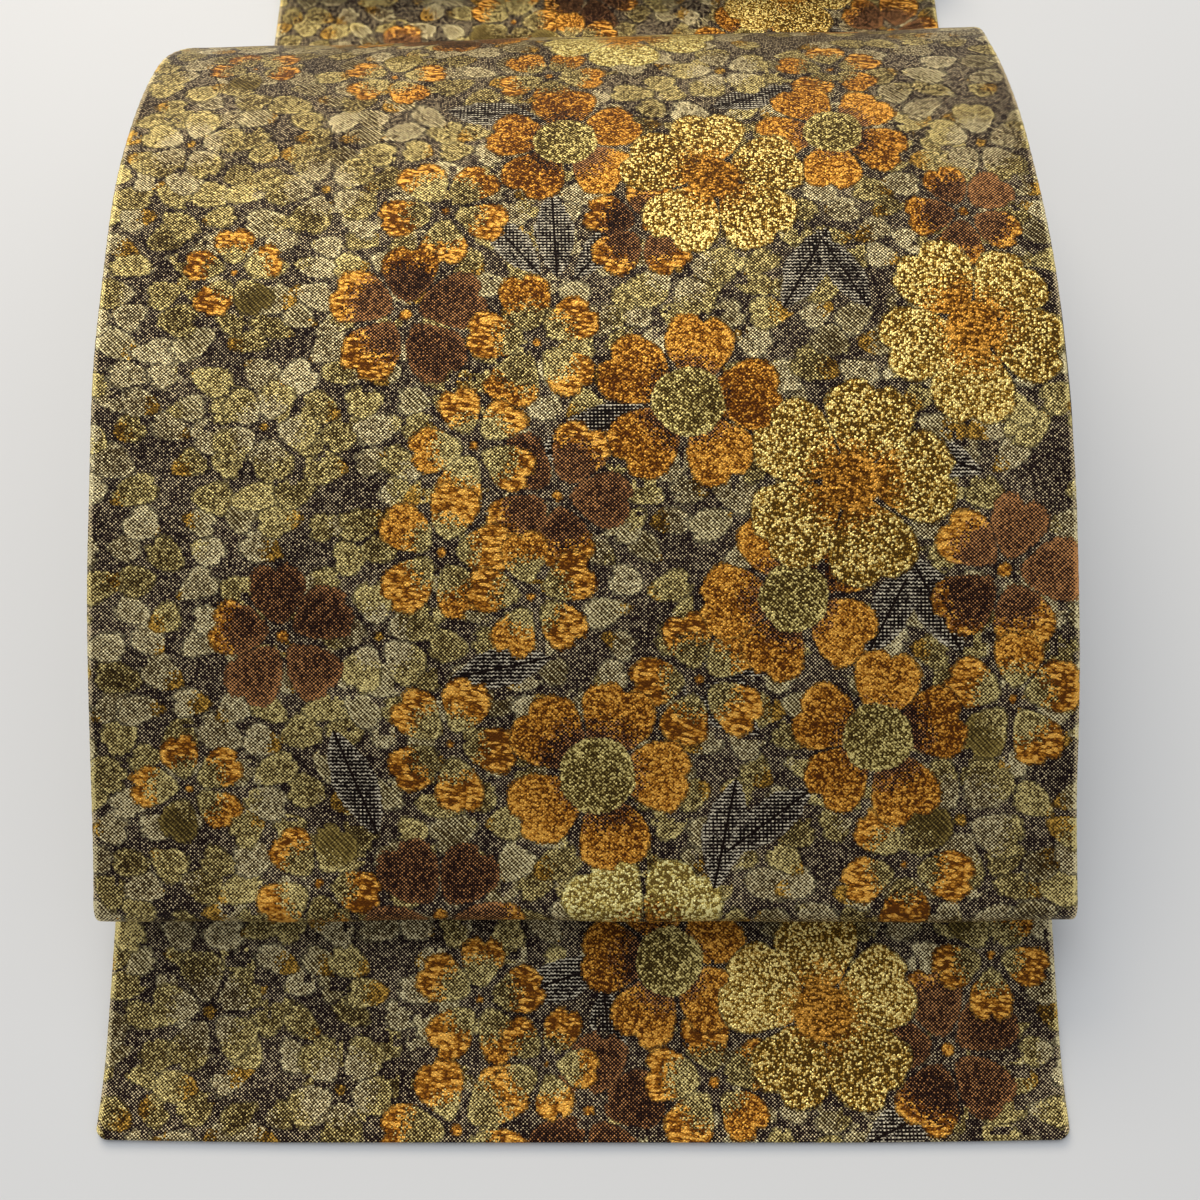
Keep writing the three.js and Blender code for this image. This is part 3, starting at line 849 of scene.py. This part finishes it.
# The points of one cloth: the band's middle line + across * x axis + distance * normal, the normal at
# the heading plus a right angle; shift, lean and the unevenness are added.
def sheetPoints(cloth, us, vs, low, high, tipLow):
    side, radius = cloth["side"], cloth["edgeRadius"]
    edge = band["width"] / 2 - cloth["inset"]
    x, dropAcross = turnedEdge(us, edge, radius)
    middle, half = (low + high) / 2, (high - low) / 2
    along, dropAlong = turnedEdge(vs - middle, half + radius, radius)
    x, along = x[None, :], along[:, None] + middle
    if tipLow:      # the tip's corners are rounded and its ends lie a little back
        corner = np.clip((np.abs(x) - edge) / tipShape["cornerRadius"] + 1, 0, 1)
        setBack = tipShape["cornerRadius"] * (1 - np.sqrt(1 - corner ** 2))
        setBack = setBack + tipShape["bow"] * (x / edge) ** 2
        along = along + setBack * np.exp(-np.clip(along, 0, None) / tipShape["fades"])
    along = np.broadcast_to(along, (len(vs), len(us)))
    at = {key: np.interp(along, route["along"], route[key]) for key in route if key != "along"}
    drop = np.maximum(dropAcross[None, :], dropAlong[:, None])
    distance = side * (band["halfThickness"] - drop) + unevenness(x, along)
    if side < 0:    # the back cloth peeps out at the drum's right-hand edge
        peep = np.exp(-((along - peepingLining["at"]) / peepingLining["half"]) ** 4)
        outwards = np.clip((x - peepingLining["from"]) / peepingLining["over"], 0, 1)
        x = x + peepingLining["proud"] * peep * outwards
    points = np.empty((len(vs), len(us), 3))
    points[..., 0] = band["across"] + at["shift"] + x
    points[..., 1] = at["y"] - distance * np.sin(at["heading"]) + x / band["width"] * at["lean"]
    points[..., 2] = at["z"] + distance * np.cos(at["heading"])
    return points


# A smooth mesh of quads from a grid of points in millimetres, facing away from the band's middle.
def gridMesh(name, points, side):
    rows, columns = points.shape[:2]
    index = np.arange(rows * columns).reshape(rows, columns)
    corners = [index[:-1, :-1], index[:-1, 1:], index[1:, 1:], index[1:, :-1]]
    if side < 0:
        corners = corners[::-1]
    faces = np.stack([corner.ravel() for corner in corners], axis=1)
    mesh = bpy.data.meshes.new(name)
    mesh.vertices.add(rows * columns)
    mesh.vertices.foreach_set("co", (points * mm).ravel())
    mesh.loops.add(faces.size)
    mesh.loops.foreach_set("vertex_index", faces.ravel())
    mesh.polygons.add(len(faces))
    mesh.polygons.foreach_set("loop_start", np.arange(0, faces.size, 4))
    mesh.update(calc_edges=True)
    mesh.polygons.foreach_set("use_smooth", np.ones(len(faces), bool))
    return mesh, faces


def writeVectors(mesh, name, domain, a, b, c):
    attribute = mesh.attributes.new(name, "FLOAT_VECTOR", domain)
    attribute.data.foreach_set("vector", np.stack([a.ravel(), b.ravel(), c.ravel()], axis=1).ravel())


# Each face's three uppermost motifs, written into its corners: the place in the motif with its form and
# size, and its threads.
def writePattern(mesh, us, vs, cornerAcross, cornerAlong):
    for layer, chosen in zip(("first", "second", "third"), topMotifs(us, vs)):
        picked = chosen.ravel()[:, None]
        ownX, ownY = ownPlace(picked, cornerAcross, cornerAlong)
        far = picked == nowhere
        ownX, ownY = np.where(far, 9.0, ownX), np.where(far, 9.0, ownY)
        packed = np.broadcast_to(motifs["form"][picked] * 100 + motifs["wide"][picked], ownX.shape)
        writeVectors(mesh, layer + "_place", "CORNER", ownX, ownY, packed)
        tip = np.broadcast_to(motifs["tip"][picked] + motifs["tone"][picked], ownX.shape)
        root = np.broadcast_to(motifs["root"][picked], ownX.shape)
        meet = np.broadcast_to(motifs["meet"][picked], ownX.shape)
        writeVectors(mesh, layer + "_ink", "CORNER", tip, root, meet)


# One cloth of a stretch, with its mesh, its pattern and its flat size in metres.
def clothSheet(name, cloth, low, high, stepAlong, stepAcross, tipLow=False, tipHigh=False):
    side, radius = cloth["side"], cloth["edgeRadius"]
    low = low + (radius + cloth["inset"]) * tipLow
    high = high - (radius + cloth["inset"]) * tipHigh
    us = linesAcross(band["width"] / 2 - cloth["inset"] - radius, stepAcross, radius, cloth["turnIn"])
    vs = linesAlong(low, high, stepAlong)
    turn = turnLines(radius, endTurnIn)
    if tipLow:
        vs = np.concatenate([low - turn[::-1], vs])
    if tipHigh:
        vs = np.concatenate([vs, high + turn])
    mesh, faces = gridMesh(name, sheetPoints(cloth, us, vs, low, high, tipLow), side)
    acrossOf, alongOf = [lines.ravel() for lines in np.meshgrid(us, vs)]
    writeVectors(mesh, "cloth", "POINT", acrossOf, alongOf, 0 * acrossOf)
    if side > 0:
        writePattern(mesh, us, vs, acrossOf[faces], alongOf[faces])
    sheet = bpy.data.objects.new(name, mesh)
    bpy.context.scene.collection.objects.link(sheet)
    mesh.materials.append(brocadeCloth if side > 0 else liningCloth)
    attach(sheet, "root")
    flat = float(us[-1] - us[0]) * mm, float(vs[-1] - vs[0]) * mm
    print(f"  {name}: {len(faces) * 2} triangles, cut {flat[0]:.3f} by {flat[1]:.3f} m")
    return sheet, flat


stretches = [
    # front and lining: the step between rows of points, from each distance along on
    {"name": "tare", "low": 0.0, "high": mark["inner fold"], "held": "laid",
     "front": {0.0: 1.25, 95.0: 5.0, mark["ramp"]: 1.0}, "lining": {0.0: 5.0, mark["ramp"]: 1.2}},
    {"name": "return", "low": mark["inner fold"], "high": mark["return"], "held": "folded",
     "front": {0.0: 5.0}, "lining": {0.0: 5.0}},
    {"name": "drum", "low": mark["return"], "high": mark["fall"], "held": "folded",
     "front": {0.0: 0.9, mark["near fold"]: 1.25}, "lining": {0.0: 1.2, mark["near fold"]: 5.0}},
    {"name": "strip", "low": mark["fall"], "high": mark["strip"], "held": "laid",
     "front": {0.0: 1.25}, "lining": {0.0: 4.0}},
]
for row in stretches:
    for part, cloth, stepAcross in (("front", frontCloth, 1.25), ("lining", backCloth, 5.0)):
        node = row["name"] + "_" + part
        sheet, flat = clothSheet(node + "_cloth", cloth, row["low"], row["high"], row[part], stepAcross,
                                 tipLow=row["name"] == "tare")
        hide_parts(node)

# The pack's rows lie close at the folds, less so on the top layer and far apart in the hidden layers
packSteps, stepFrom = {}, mark["strip"]
for row in packArcs:
    packSteps[stepFrom] = 0.45 if row["bend"] == "fold" else 9.0
    if row is packArcs[-1]:
        packSteps[stepFrom] = 2.4
    stepFrom += row["length"]
for part, cloth, stepAcross in (("front", frontCloth, 2.4), ("lining", backCloth, 6.0)):
    sheet, flat = clothSheet("folded_" + part + "_cloth", cloth, mark["strip"], bandEnd, packSteps,
                             stepAcross, tipHigh=True)
    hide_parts("folded_length")
